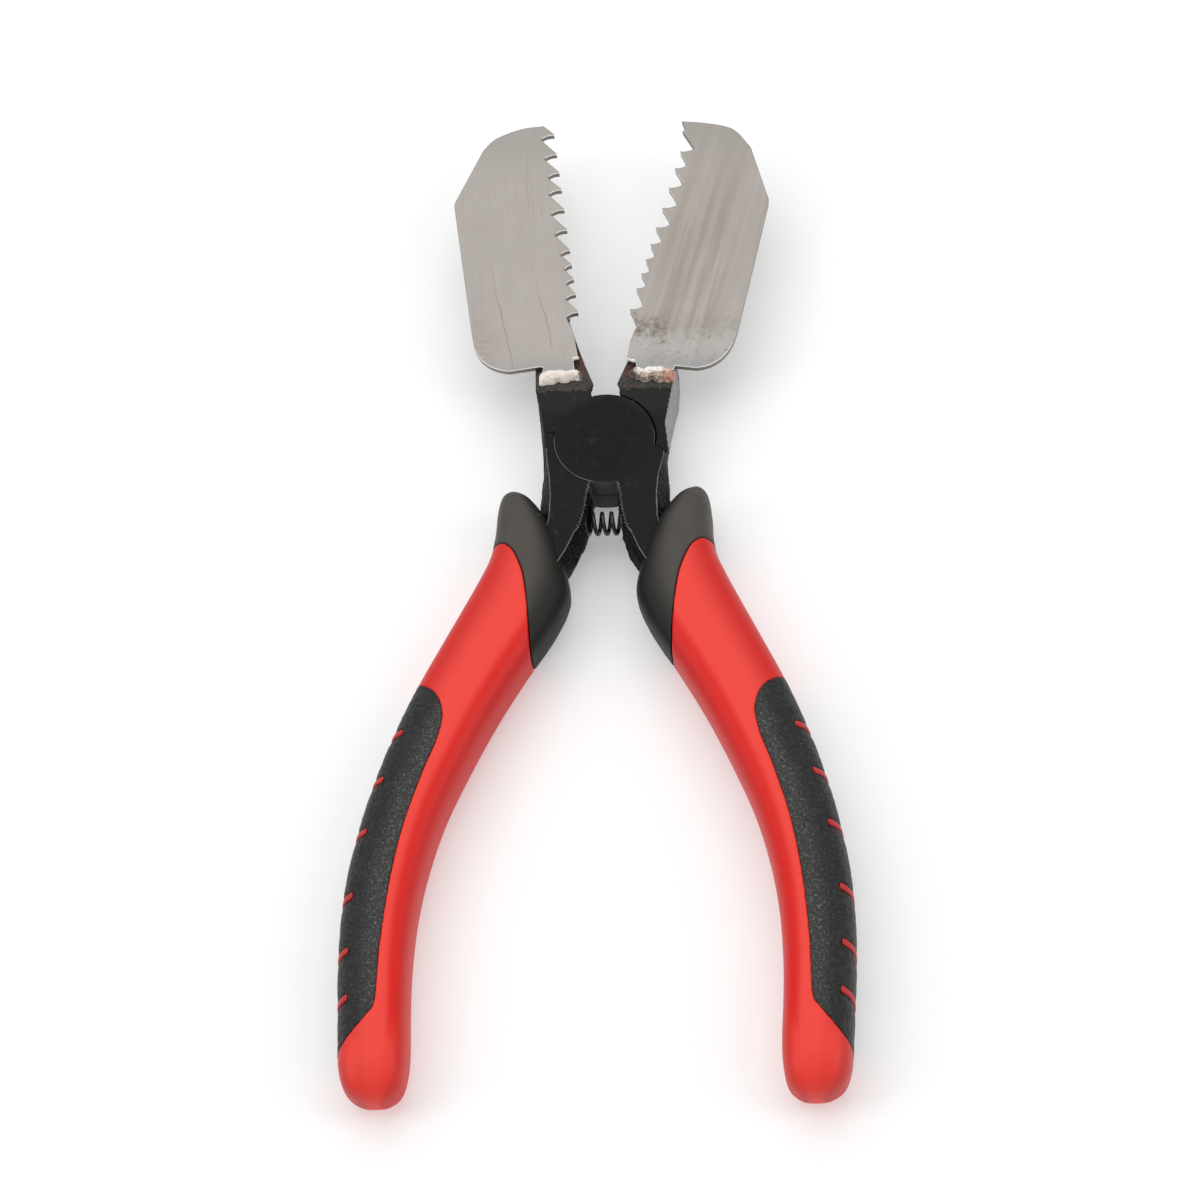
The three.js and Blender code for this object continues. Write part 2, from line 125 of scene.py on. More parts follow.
# Each blade's outline, drawn as the right-hand one. The line of the teeth's tips is an x, its y and the
# slope of x; a tooth is its tip's y and its depth; the hook is how far a tooth's root lies above its tip.
BLADES = {
    "left": {
        "back": [(14.3, 77.4), (18.4, 77), (22.1, 75.8), (25.1, 74.2), (27.3, 71.6)],
        "corner": [(32.6, 59.2), (33, 58.2), (33, 57)],
        "heel": [(28, 23.8), (26.8, 16.6), (20, 15.8)],
        "tab": [(13.4, 16.7), (12.9, 16.4), (13.1, 15.1), (6.3, 15.2), (6.7, 18.5), (5.7, 18.7), (6.6, 24),
                (7.2, 26)],
        "teeth_line": (5.9, 29.6, 0.135),
        "teeth": [(29.6, 2.6), (34.1, 2.2), (37.9, 1.7), (41.5, 1.7), (45.2, 2.1), (50.3, 2.8), (55.5, 3.1),
                  (60.6, 2.9), (65, 2.6), (69.8, 2.8), (74.9, 3)],
        "hook": -1.0,
    },
    "right": {
        "back": [(15.6, 77.3), (19.6, 76.8), (24.3, 75.8), (27.3, 74.2), (30.4, 70)],
        "corner": [(33.9, 57.6), (34.2, 56.6), (34.1, 55.4)],
        "heel": [(27.6, 24.1), (25.8, 15.8), (19.2, 15.2)],
        "tab": [(14.6, 15.9), (14.3, 14.9), (6.9, 14.9), (6.3, 17.4), (4.5, 18), (5.3, 22.5)],
        "teeth_line": (5, 30.1, 0.262),
        "teeth": [(30.1, 2.6), (35.2, 1.9), (38.8, 1.6), (42.4, 1.7), (46.1, 2.2), (50.3, 2.9), (55.2, 3.1),
                  (60.3, 2.8), (65.2, 2.3), (69.5, 2.8)],
        "hook": 0.6,
    },
}
BLADE_BURR, BURR_DEPTH = 0.12, 0.3
SPEED = 1  # a coarser grid while trying things


# Curves.
def smooth(points, steps):
    """A Catmull-Rom spline through rows of numbers, sampled a number of times between each two."""
    rows = np.array(points, float)
    ends = np.vstack([2 * rows[0] - rows[1], rows, 2 * rows[-1] - rows[-2]])
    out = []
    for before, here, there, after in zip(ends, ends[1:], ends[2:], ends[3:]):
        for t in np.arange(steps) / steps:
            square = 2 * before - 5 * here + 4 * there - after
            cube = 3 * here - before - 3 * there + after
            out.append(0.5 * (2 * here + (there - before) * t + square * t * t + cube * t ** 3))
    return np.array(out + [rows[-1]])


def bowed(start, end, bow, steps=5):
    """Points from start to end, end included, on a shallow arc that swells to the left by bow times its
    length."""
    start, end = np.array(start, float), np.array(end, float)
    left = np.array([start[1] - end[1], end[0] - start[0]])
    shares = np.arange(1, steps + 1) / steps
    return [tuple(start + (end - start) * t + left * bow * 4 * t * (1 - t)) for t in shares]


def turned_corner(start, control, end, steps=10):
    """Points on a quadratic curve from start to end."""
    start, control, end = (np.array(p, float) for p in (start, control, end))
    shares = np.linspace(0, 1, steps)
    return [tuple((1 - t) ** 2 * start + 2 * t * (1 - t) * control + t * t * end) for t in shares]


# Fields.
class Grid:
    """Grid points as three arrays that broadcast together."""

    def __init__(self, xs, ys, zs):
        self.axes = [np.asarray(a, np.float64) for a in (xs, ys, zs)]
        self.x, self.y, self.z = (a.astype(np.float32).reshape(shape) for a, shape in
                                  zip(self.axes, ((-1, 1, 1), (1, -1, 1), (1, 1, -1))))


def span(low, high, step):
    """Evenly spaced places, further apart while trying things."""
    return np.arange(low, high + step, step * SPEED)


def meet(a, b, radius=0.0):
    """Where both solids are, the edge between them rounded."""
    if not radius:
        return np.maximum(a, b)
    round_part = np.hypot(np.maximum(a + radius, 0), np.maximum(b + radius, 0))
    return np.minimum(-radius, np.maximum(a, b)) + round_part


def join(a, b, radius=0.0):
    """Where either solid is, the corner between them filled."""
    return -meet(-a, -b, radius)


def cut(a, b, radius=0.0):
    """The first solid without the second."""
    return meet(a, -b, radius)


def clamp(value):
    return np.clip(value, 0, 1)


def close_to(distance, reach):
    """1 where the distance is nothing, falling to 0 at reach."""
    return clamp(1 - np.abs(distance) / reach)


def from_line(x, y, start, end):
    """The distance from a straight line, and how far along it the nearest place is, from 0 to 1."""
    (ax, ay), (dx, dy) = start, np.subtract(end, start)
    along = clamp(((x - ax) * dx + (y - ay) * dy) / (dx * dx + dy * dy))
    return np.hypot(x - ax - along * dx, y - ay - along * dy), along


def outline(points, x, y):
    """Signed distance in plan from a closed outline."""
    best, inside = np.inf, False
    for start, end in zip(points, np.roll(points, -1, axis=0)):
        best = np.minimum(best, from_line(x, y, start, end)[0])
        (ax, ay), (bx, by) = start, end
        if by != ay:
            inside = inside ^ (((ay > y) != (by > y)) & (x < (y - ay) * (bx - ax) / (by - ay) + ax))
    return np.where(inside, -best, best).astype(np.float32)


def value_noise(points, size, seed):
    """Smooth noise between -1 and 1 at each point, with lumps of the given size."""
    lattice = np.random.default_rng(seed).uniform(-1, 1, (32, 32, 32))
    scaled = points / size
    base = np.floor(scaled).astype(int)
    t = scaled - base
    t = t * t * (3 - 2 * t)
    total = 0
    for corner in np.ndindex(2, 2, 2):
        weight = np.prod(np.where(corner, t, 1 - t), axis=1)
        total = total + weight * lattice[tuple(((base + corner) % 32).T)]
    return total


def skin(grid, field):
    """The vertices and outward quads of a field's zero surface, by surface nets."""
    inside = field < 0
    size = np.array(field.shape) - 1
    corners = [np.array(c) for c in np.ndindex(2, 2, 2)]
    count = sum(inside[c[0]:c[0] + size[0], c[1]:c[1] + size[1], c[2]:c[2] + size[2]].astype(np.int8)
                for c in corners)
    cells = np.argwhere((count > 0) & (count < 8))
    number = np.full(count.shape, -1, np.int64)
    number[tuple(cells.T)] = np.arange(len(cells))

    total, hits = np.zeros((len(cells), 3)), np.zeros(len(cells))
    for near in corners:
        for axis in range(3):
            if near[axis]:
                continue
            far = near + np.eye(3, dtype=int)[axis]
            a, b = (field[tuple((cells + c).T)].astype(float) for c in (near, far))
            crossed = (a < 0) != (b < 0)
            share = a[crossed] / (a[crossed] - b[crossed])
            at = np.stack([grid.axes[k][(cells + near)[crossed, k]] for k in range(3)], 1)
            ahead = np.stack([grid.axes[k][(cells + far)[crossed, k]] for k in range(3)], 1)
            total[crossed] += at + (ahead - at) * share[:, None]
            hits[crossed] += 1

    quads = []
    for axis in range(3):
        step = np.eye(3, dtype=int)[axis]
        u, v = np.eye(3, dtype=int)[(axis + 1) % 3], np.eye(3, dtype=int)[(axis + 2) % 3]
        end = np.array(field.shape) - step
        near = inside[:end[0], :end[1], :end[2]]
        far = inside[step[0]:, step[1]:, step[2]:]
        for leaving in (True, False):
            edges = np.argwhere((near & ~far) if leaving else (far & ~near))
            ring = [number[tuple((edges - shift).T)] for shift in (0 * u, u, u + v, v)]
            quads.append(np.stack(ring if leaving else ring[::-1], 1))
    return total / hits[:, None], np.concatenate(quads)


def normals_of(points, quads):
    """The outward direction at each vertex."""
    across = np.cross(points[quads[:, 2]] - points[quads[:, 0]], points[quads[:, 3]] - points[quads[:, 1]])
    total = np.zeros_like(points)
    for k in range(4):
        np.add.at(total, quads[:, k], across)
    return total / np.maximum(np.linalg.norm(total, axis=1, keepdims=True), 1e-12)


def on_side(sign, points, faces):
    """A right-hand mesh as it is, or turned over to the left when sign is -1."""
    return (points, faces) if sign > 0 else (points * (-1, 1, 1), [face[::-1] for face in faces])


# Pieces.
def piece(name, points, faces, body, node, slot, look, masks=None):
    """A mesh object from millimetres about the pivot, which rides on a body and stands for a CAD node."""
    mesh = bpy.data.meshes.new(name)
    placed = np.asarray(points) * MM + np.array(PIVOT)
    mesh.from_pydata(placed.tolist(), [], [list(map(int, face)) for face in faces])
    mesh.update()
    mesh.shade_smooth()
    for mask, values in (masks or {}).items():
        mesh.attributes.new(mask, "FLOAT", "POINT").data.foreach_set("value", np.asarray(values, np.float32))
    mesh.materials.append(look)
    made = bpy.data.objects.new(name, mesh)
    bpy.context.scene.collection.objects.link(made)
    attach(made, body)
    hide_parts(node)
    return made


# Node materials.
class Look:
    """A node material: the Principled shader, and short calls for the nodes that feed it. Lengths are in
    millimetres about the pivot."""

    def __init__(self, name, specular, **constants):
        self.material = bpy.data.materials.new(name)
        self.material.use_nodes = True
        self.tree = self.material.node_tree
        self.shader = self.tree.nodes["Principled BSDF"]
        self.shader.inputs["Specular IOR Level"].default_value = specular
        for socket, value in constants.items():
            self.shader.inputs[socket.replace("_", " ")].default_value = value
        coordinates = self.tree.nodes.new("ShaderNodeTexCoord").outputs["Object"]
        self.place = self.mapping(coordinates, scale=(1 / MM,) * 3, move=tuple(-PIVOT / MM))

    def add(self, kind, inputs=(), **settings):
        node = self.tree.nodes.new("ShaderNode" + kind)
        for key, value in settings.items():
            setattr(node, key, value)
        for key, value in dict(inputs).items():
            if isinstance(value, bpy.types.NodeSocket):
                self.tree.links.new(value, node.inputs[key])
            else:
                node.inputs[key].default_value = value
        return node

    def mapping(self, vector, scale=(1, 1, 1), move=(0, 0, 0), turn=0):
        inputs = {"Vector": vector, "Scale": scale, "Location": move, "Rotation": (0, 0, turn)}
        return self.add("Mapping", inputs).outputs["Vector"]

    def noise(self, size, detail=4, roughness=0.5, long=1, turn=0, seed=0):
        """Noise from 0 to 1, with features about `size` mm and `long` times as long in the turned y axis."""
        place = self.mapping(self.mapping(self.place, turn=turn, move=(seed, seed, seed)),
                             scale=(1 / size, 1 / (size * long), 1 / size))
        inputs = {"Vector": place, "Scale": 1, "Detail": detail, "Roughness": roughness}
        return self.add("TexNoise", inputs).outputs["Fac"]

    def cells(self, size):
        """Distance from the middle of the nearest rounded cell."""
        place = self.mapping(self.place, scale=(1 / size,) * 3)
        inputs = {"Vector": place, "Scale": 1}
        return self.add("TexVoronoi", inputs, feature="SMOOTH_F1").outputs["Distance"]

    def math(self, operation, a, b=0):
        return self.add("Math", {0: a, 1: b}, operation=operation).outputs[0]

    def axis(self, name):
        return self.add("SeparateXYZ", {0: self.place}).outputs[name]

    def window(self, value, low, high):
        """0 below low, 1 above high, smooth between."""
        inputs = {"Value": value, "From Min": low, "From Max": high}
        return self.add("MapRange", inputs, interpolation_type="SMOOTHSTEP").outputs["Result"]

    def spots(self, low, high, *noise, **options):
        """1 where a noise is above high, 0 where it is below low."""
        return self.window(self.noise(*noise, **options), low, high)

    def scaled(self, value, low, high):
        """A value from 0 to 1 spread over low to high."""
        return self.add("MapRange", {"Value": value, "To Min": low, "To Max": high}).outputs["Result"]

    def mask(self, name):
        return self.add("Attribute", attribute_name=name).outputs["Fac"]

    def convex(self, low, high):
        """1 on outward edges."""
        return self.window(self.add("NewGeometry").outputs["Pointiness"], low, high)

    def blend(self, share, a, b):
        node = self.add("Mix", {"Factor": share}, data_type="RGBA")
        for socket, value in ((node.inputs[6], a), (node.inputs[7], b)):
            if isinstance(value, bpy.types.NodeSocket):
                self.tree.links.new(value, socket)
            else:
                socket.default_value = (*value, 1)
        return node.outputs[2]

    def times(self, *values):
        product = values[0]
        for value in values[1:]:
            product = self.math("MULTIPLY", product, value)
        return product

    def plus(self, a, b):
        return self.math("ADD", a, b)

    def minus(self, a, b):
        return self.math("SUBTRACT", a, b)

    def size_of(self, value):
        return self.math("ABSOLUTE", value)

    def ragged(self, value, reach, noise):
        """A value moved up and down by a noise, by as much as reach."""
        return self.plus(value, self.scaled(noise, -reach, reach))

    def over(self, tone, *shares):
        """Lays a tone over the colour, as strongly as the product of the shares."""
        self.colour = self.blend(self.times(*shares), self.colour, tone)

    def bump(self, height, depth, under=None):
        inputs = {"Height": height, "Distance": depth * MM, "Strength": 1}
        if under is not None:
            inputs["Normal"] = under
        return self.add("Bump", inputs).outputs["Normal"]

    def finish(self, roughness, normal=None, metallic=None):
        links = {"Base Color": self.colour, "Roughness": roughness, "Normal": normal, "Metallic": metallic}
        for socket, value in links.items():
            if value is not None:
                self.tree.links.new(value, self.shader.inputs[socket])
        return self.material


def black_oxide(name, side, wear=1):
    """Blacked forging: flat faces with fine scratches, granular forged sides with painted glints on the
    grain, painted light on the fronts of the bosses, worn edges, and scale and copper tints near the weld.
    `side` is -1 for the half whose jaw is on the left and 1 for the other."""
    look = Look(name, 0.1)
    y, across = look.axis("Y"), look.size_of(look.axis("X"))
    forged, wall = look.mask("forged"), look.mask("wall")
    grain = look.noise(0.45, 3, 0.6)
    cloud = look.noise(6, 4, 0.6, seed=side * 7)
    rub = look.noise(0.6, 4, 0.65, long=9, seed=13)
    scratch = look.noise(0.22, 3, 0.7, long=26, turn=0.06 * side, seed=3)

    in_plan = look.mapping(look.place, scale=(1, 1, 0))
    radius = look.add("VectorMath", {0: in_plan}, operation="LENGTH").outputs["Value"]
    look.colour = look.blend(cloud, (0.005, 0.0055, 0.006), (0.0106, 0.0112, 0.012))
    jaw = look.blend(cloud, (0.012, 0.0126, 0.013), (0.0185, 0.019, 0.0192))
    look.over(jaw, look.window(y, 3, 9))
    boss = look.blend(rub, (0.0032, 0.0033, 0.0033), (0.0088, 0.0088, 0.0086))
    look.over(boss, look.window(radius, 11.5, 8))
    look.over((0.02, 0.021, 0.021), look.window(scratch, 0.62, 0.8))
    haze = look.spots(0.56, 0.74, 2.2, 5, 0.75, long=1.6, seed=41)
    look.over((0.027, 0.029, 0.031), haze, 0.75)
    fleck = look.spots(0.65, 0.73, 0.5, 4, 0.75, seed=27)
    look.over((0.06, 0.063, 0.066), fleck, 0.6)

    # The sides, with painted glints on their forged grain, and painted light on the front of the bosses
    # between the arms.
    look.over(look.blend(grain, (0.002, 0.0022, 0.0024), (0.01, 0.0106, 0.0112)), wall)
    inner = look.scaled(look.window(across, 11, 9), 0.25, 0.75)
    # Painted glints: light specks on the forged grain, stronger towards the middle.
    look.over((0.15, 0.153, 0.156), forged, look.window(grain, 0.62, 0.72), inner)
    # Painted light on the walls at the front of the bosses, which face away from the lamps.
    front = look.times(look.window(y, -9, -9.6), look.window(y, -12, -11.4),
                       look.window(across, 3.9, 3.5))
    look.over(look.blend(grain, (0.062, 0.066, 0.068), (0.1, 0.105, 0.108)), wall, front)

    # Brown scale and copper tints from the weld, fading at a ragged line across the jaw.
    ragged = look.ragged(y, 1.6, look.noise(1.3, 4, 0.65, seed=5))
    heated = look.times(look.window(ragged, 11.5, 12.3), look.window(across, 2.6, 3.2))
    crust = look.spots(0.32, 0.68, 0.45, 5, 0.8, seed=9)
    look.over(look.blend(crust, (0.012, 0.011, 0.01), (0.105, 0.096, 0.086)), heated, 0.9)
    beside = look.times(look.window(across, 6.6, 5), look.window(y, 14, 15), look.window(y, 21, 17))
    patch = look.plus(look.noise(1.3, 4, 0.7, seed=21), look.times(beside, 0.16))
    copper = look.times(heated, look.window(patch, 0.56, 0.7))
    look.over((0.17, 0.05, 0.03), copper, 0.5)
    tide = look.window(look.size_of(look.minus(ragged, 11.8)), 0.24, 0.08)
    on_top = look.minus(1, wall)
    look.over((0.105, 0.09, 0.068), tide, look.window(across, 3.2, 4), on_top, 0.4)

    # Bare metal: worn edges and the ground facets.
    patchy = look.spots(0.36, 0.56, 2.2, 4, 0.7, seed=2)
    look.over((0.2, 0.2, 0.195), look.convex(0.53, 0.6), patchy, 0.3 * wear)
    broken = look.scaled(look.spots(0.32, 0.5, 1.4, 3, 0.7), 0.35, 1)
    look.over((0.265, 0.26, 0.252), look.window(look.mask("edge"), 0.15, 0.72), broken)
    bare = look.mask("ground")
    brushed = look.noise(0.35, 3, 0.6, long=8, turn=-0.25, seed=1)
    look.over(look.blend(brushed, (0.2, 0.2, 0.195), (0.46, 0.455, 0.44)), bare)

    roughness = look.plus(look.scaled(cloud, 0.38, 0.55), look.times(forged, 0.08))
    coarse = look.bump(look.times(forged, grain), 0.22)
    fine = look.bump(scratch, 0.012, coarse)
    return look.finish(roughness, look.bump(look.noise(0.12, 2), 0.006, fine), look.times(bare, 0.85))


# Thin stains on the left-hand blade: x where the line crosses y = 0, its slope, y where it starts and ends,
# and how dark it is.
STAIN_LINES = ((-15.8, -0.213, 48, 10, 0.42), (-6.55, -0.22, 46, 19, 0.3), (-15.1, -0.037, 80, 54, 0.15))


def blade_steel(name, side, lean):
    """Satin sheet steel with grinding streaks along the blade, whose lean from the y axis is in radians. The
    right-hand blade (`side` 1) is ground tan with an etched heel, the left-hand one has thin stain lines."""
    look = Look(name, 0.5, Anisotropic=0.35)
    x, y = look.axis("X"), look.axis("Y")

    def off_line(slope, at):
        return look.minus(x, look.plus(look.times(y, slope), at))

    broad = look.noise(1.5, 3, 0.5, long=38, turn=lean, seed=side * 3)
    streak = look.noise(0.45, 4, 0.6, long=50, turn=lean, seed=side * 5 + 1)
    hair = look.noise(0.09, 2, 0.6, long=60, turn=lean, seed=2)
    cloud = look.noise(9, 3, 0.5, seed=side * 2)
    blot = look.noise(1.1, 5, 0.75, seed=31)

    look.colour = look.blend(cloud, (0.292, 0.268, 0.248), (0.35, 0.324, 0.303))
    ground = look.scaled(look.window(look.size_of(off_line(0.187, 11.2)), 9, 4.5), 0.35, 1)
    strength = look.scaled(look.window(y, 74, 45), 0.35, 0.95) if side > 0 else 0.22
    tan = look.times(look.window(broad, 0.25, 0.66), look.scaled(streak, 0.45, 1), ground, strength)
    look.over((0.222, 0.194, 0.163), tan)
    look.over((0.2, 0.182, 0.163), look.window(streak, 0.58, 0.8), 0.3)
    look.over((0.215, 0.205, 0.195), look.window(look.ragged(y, 6, cloud), 62, 76), 0.35)

    if side > 0:
        heel = look.ragged(y, 5, look.noise(2, 5, 0.7, long=2, seed=11))
        etched = look.window(heel, 26, 22)
        look.over((0.4, 0.385, 0.365), etched, 0.6)
        band = look.times(look.window(heel, 21.5, 24), look.window(heel, 30, 26))
        inner = look.scaled(look.window(x, 15, 11), 0.15, 0.65)
        look.over((0.105, 0.088, 0.074), band, look.window(blot, 0.38, 0.6), inner)
        specks = look.times(etched, look.window(blot, 0.56, 0.66))
    else:
        etched = 0
        stain = look.times(look.window(y, 34, 20), look.window(x, -20, -27), look.window(blot, 0.35, 0.6))
        look.over((0.215, 0.18, 0.142), stain, 0.45)
        for at, slope, top, end, depth in STAIN_LINES:
            off = look.ragged(off_line(slope, at), 1.2, look.noise(5, 3, 0.6, long=2.5, seed=at))
            line = look.times(look.window(look.size_of(off), 0.22, 0.05), look.window(y, top, top - 20))
            look.over((0.12, 0.098, 0.08), line, look.window(y, end, end + 4), depth)
        specks = look.times(look.window(blot, 0.64, 0.72), look.window(y, 30, 20))
    look.over((0.085, 0.074, 0.066), specks, 0.55)
    tint = look.window(look.ragged(y, 1.5, cloud), 20, 15.8)
    look.over((0.235, 0.247, 0.258), tint, 0.55)

    # The sheared sides, and the burr along their tops: a painted highlight where it faces the handles,
    # painted shade elsewhere.
    sheared = look.blend(look.noise(0.5, 3, 0.7, seed=8), (0.13, 0.112, 0.092), (0.31, 0.28, 0.245))
    look.over(sheared, look.mask("wall"), 0.9)
    look.over((0.15, 0.137, 0.125), look.mask("shaded_burr"))
    look.over((1, 0.99, 0.97), look.mask("lit"))

    roughness = look.plus(look.scaled(streak, 0.33, 0.45), look.times(etched, 0.08))
    normal = look.bump(look.noise(14, 2, 0.4, seed=4 + side), 0.1, look.bump(hair, 0.004))
    normal = look.bump(look.times(etched, blot), 0.02, normal)
    return look.finish(roughness, normal, look.minus(1, look.mask("lit")))


def weld_metal(name, side):
    """Weld bead with fine ripples. The left-hand one is pale cream; the right-hand one is silver over brown
    scale, copper at its outer end and dark at its inner one."""
    look = Look(name, 0.5)
    x, y, z = look.axis("X"), look.axis("Y"), look.axis("Z")
    lumps = look.noise(0.55, 5, 0.7, seed=side * 4)
    rim = look.times(look.window(z, 6.05, 5.7), look.window(lumps, 0.4, 0.55))
    out = look.ragged(look.times(x, side), 1.2, lumps)
    if side < 0:
        look.colour = look.blend(lumps, (0.74, 0.64, 0.56), (0.98, 0.9, 0.82))
        pits = look.spots(0.62, 0.74, 0.4, 3, 0.7, seed=6)
        look.over((0.3, 0.24, 0.2), pits, 0.35)
        dark = look.times(look.window(out, 5.9, 5.1), 0.85)
        scaly = look.times(look.window(z, 5.75, 5.55), 0.5)
    else:
        look.colour = look.blend(look.window(lumps, 0.3, 0.7), (0.7, 0.65, 0.6), (1.00, 0.97, 0.93))
        low = look.ragged(y, 1.4, look.noise(1, 4, 0.7, seed=8))
        scaly = look.times(look.window(low, 14.9, 14.2), 0.9)
        dark = look.times(look.window(out, 7.2, 5.8), 0.9)
    crust = look.spots(0.36, 0.66, 0.6, 4, 0.75, seed=3)
    look.over(look.blend(crust, (0.06, 0.034, 0.024), (0.74, 0.54, 0.42)), scaly)
    patch = look.ragged(out, 2.5, look.noise(1.6, 4, 0.7, seed=5))
    copper = look.times(look.window(patch, 11.2, 13.4), 0.8 if side > 0 else 0)
    look.over(look.blend(lumps, (0.2, 0.06, 0.035), (0.85, 0.34, 0.22)), copper)
    look.over((0.05, 0.024, 0.018), dark, look.window(y, 17.2, 16.8))
    look.over((0.78, 0.71, 0.63), rim, 0.75)
    metallic = look.times(look.math("MAXIMUM", scaly, copper), 0.2)
    roughness = look.plus(look.scaled(lumps, 0.3, 0.45), look.times(scaly, 0.15))
    normal = look.bump(look.noise(0.22, 3, 0.6), 0.05, look.bump(lumps, 0.14))
    return look.finish(roughness, normal, metallic)


def spring_steel():
    """Blackened wire with a few rubbed places."""
    look = Look("spring_steel", 0.6)
    grime = look.noise(0.8, 3, 0.6)
    look.colour = look.blend(grime, (0.005, 0.005, 0.0055), (0.014, 0.014, 0.0145))
    wear_and_lit_side = look.spots(0.58, 0.72, 1.6, 3, 0.6, seed=4)
    look.over((0.12, 0.12, 0.12), wear_and_lit_side, 0.35)
    return look.finish(look.scaled(grime, 0.26, 0.42), look.bump(look.noise(0.15, 2), 0.01))


def red_core():
    """Satin red plastic: a painted sheen along its crest, the red beside it darker as painted shade, painted
    shade on its sides, and darker in the hollows.
    """
    look = Look("red_core", 0.26, Subsurface_Weight=0.05,
                Subsurface_Radius=(0.0012, 0.0003, 0.0002))
    y, across = look.axis("Y"), look.mask("across")
    cloud = look.noise(13, 4, 0.55)
    off = look.size_of(across)
    # Painted sheen: the crest and the grip's end get a paler red with more green and blue. The red beside it
    # is darker, as painted shade.
    crest = look.times(look.window(across, -0.62, -0.38), look.window(across, 0.68, 0.05))
    tip = look.times(look.window(y, -126, -134), look.window(off, 1, 0.5), 0.85)
    crest = look.times(look.math("MAXIMUM", crest, tip), look.scaled(cloud, 0.8, 1))
    beside = look.blend(look.window(across, -0.3, 0.3), (0.69, 0.01, 0.006), (0.6, 0.019, 0.014))
    look.colour = look.blend(crest, beside, (0.825, 0.053, 0.036))
    # Painted shade on the grip's sides.
    look.over((0.52, 0.038, 0.034), look.window(off, 0.62, 0.95), 0.6)
    rubbed = look.spots(0.6, 0.8, 5, 5, 0.7, long=2.2, seed=7)
    look.over((0.48, 0.016, 0.014), rubbed, 0.22)
    dirt = look.spots(0.655, 0.74, 2.3, 5, 0.75, long=1.8, seed=15)
    look.over((0.16, 0.022, 0.02), dirt, 0.4)
    # Painted shade along the outer side where the ribs are.
    along_ribs = look.times(look.window(y, -58, -62), look.window(y, -128, -125))
    look.over((0.36, 0.03, 0.03), look.window(across, 0.55, 0.7), along_ribs, 0.55)
    # Darker in the hollows, where the surface is concave.
    hollow = look.minus(1, look.convex(0.4, 0.475))
    look.over((0.12, 0.012, 0.011), hollow, 0.6)
    roughness = look.plus(look.scaled(cloud, 0.4, 0.5), look.times(dirt, 0.12))
    normal = look.bump(look.noise(0.35, 2, 0.5), 0.012, look.bump(look.noise(4, 3, 0.5, seed=2), 0.05))
    return look.finish(roughness, normal)


def black_guard():
    """Smooth satin rubber, dusty grey-brown on top, with painted shade across its inner side towards the
    spring, and scuffed on its edges.
    """
    look = Look("black_guard", 0.26)
    cloud = look.noise(7, 4, 0.6)
    dust = look.noise(1.6, 5, 0.7, seed=5)
    top = look.blend(cloud, (0.054, 0.047, 0.04), (0.078, 0.07, 0.059))
    # Painted shade: the inner side, towards the spring, is much darker.
    look.colour = look.blend(look.window(look.mask("across"), -0.75, -0.1), (0.0105, 0.011, 0.0095), top)
    look.over((0.066, 0.06, 0.053), look.window(dust, 0.55, 0.78), 0.3)
    scuff = look.times(look.convex(0.53, 0.6), look.spots(0.45, 0.62, 1.2, 3, 0.7, seed=12))
    look.over((0.17, 0.16, 0.15), scuff, 0.35)
    roughness = look.scaled(dust, 0.46, 0.62)
    normal = look.bump(look.noise(0.22, 3, 0.6), 0.014, look.bump(look.noise(2.5, 2, seed=3), 0.03))
    return look.finish(roughness, normal)


def black_pad():
    """Leather-grained rubber: shallow rounded cells a little under a millimetre across, shiny on their tops
    with a painted sheen there, paler along the pad's inner edge as painted light, with painted glints there,
    and a little painted light on its outer rim."""
    look = Look("black_pad", 0.3)
    pebble = look.cells(0.85)
    fine = look.noise(0.35, 3, 0.6)
    tops = look.window(pebble, 0.55, 0.15)
    cloud = look.noise(5, 4, 0.6)
    # Painted light: the pad's inner part is paler and carries painted glints.
    wear_and_lit_side = look.window(look.ragged(look.mask("across"), 0.2, cloud), 0.45, -0.05)
    look.colour = look.blend(wear_and_lit_side, (0.0075, 0.0082, 0.008), (0.028, 0.028, 0.027))
    painted_glint = look.spots(0.52, 0.64, 0.55, 4, 0.8, seed=2)
    look.over((0.165, 0.165, 0.156), painted_glint, look.scaled(wear_and_lit_side, 0.15, 0.8))
    # Painted sheen on the cells' tops.
    look.over((0.05, 0.052, 0.05), tops, 0.2)
    # Painted light along the pad's outer rim.
    look.over((0.045, 0.045, 0.045), look.window(look.mask("across"), 0.62, 0.9), 0.15)
    roughness = look.plus(look.scaled(fine, 0.42, 0.62), look.times(tops, -0.08))
    height = look.plus(look.times(tops, 0.7), look.times(fine, 0.5))
    return look.finish(roughness, look.bump(height, 0.26))


# Forgings.
def serration(x, y):
    """Saw-tooth grooves across the arm's inner edge, between the joint and the spring's lower side."""
    tooth = 2 * np.abs((y / 0.85) % 1 - 0.5)
    return np.where((x < 8) & (y > SERRATION_END) & (y < -10.4), 0.46 * tooth, 0)


def strip(middle, widths, x, y, extra=0.0):
    """Signed distance in plan from a strip whose half width changes evenly along its middle line."""
    line = smooth(middle, 6)
    best = np.inf
    for i, (start, end) in enumerate(zip(line, line[1:])):
        distance, along = from_line(x, y, start, end)
        half = widths[0] + (widths[1] - widths[0]) * (i + along) / (len(line) - 1)
        best = np.minimum(best, distance - half)
    return best - extra


def tang(x, y, z, extra=0.0):
    return meet(strip(TANG, TANG_WIDTH, x, y, extra), np.abs(z) - TANG_HALF - extra, 0.4)


def forged(corners, x, y, z):
    """Signed distance from the side of a body whose outline changes evenly from each face to its middle."""
    boss, middle, other = (outline([(row[k], row[3]) for row in corners], x, y) for k in range(3))
    up, down = clamp(z / FACE), clamp(-z / FACE)
    return middle * (1 - up - down) + boss * up + other * down


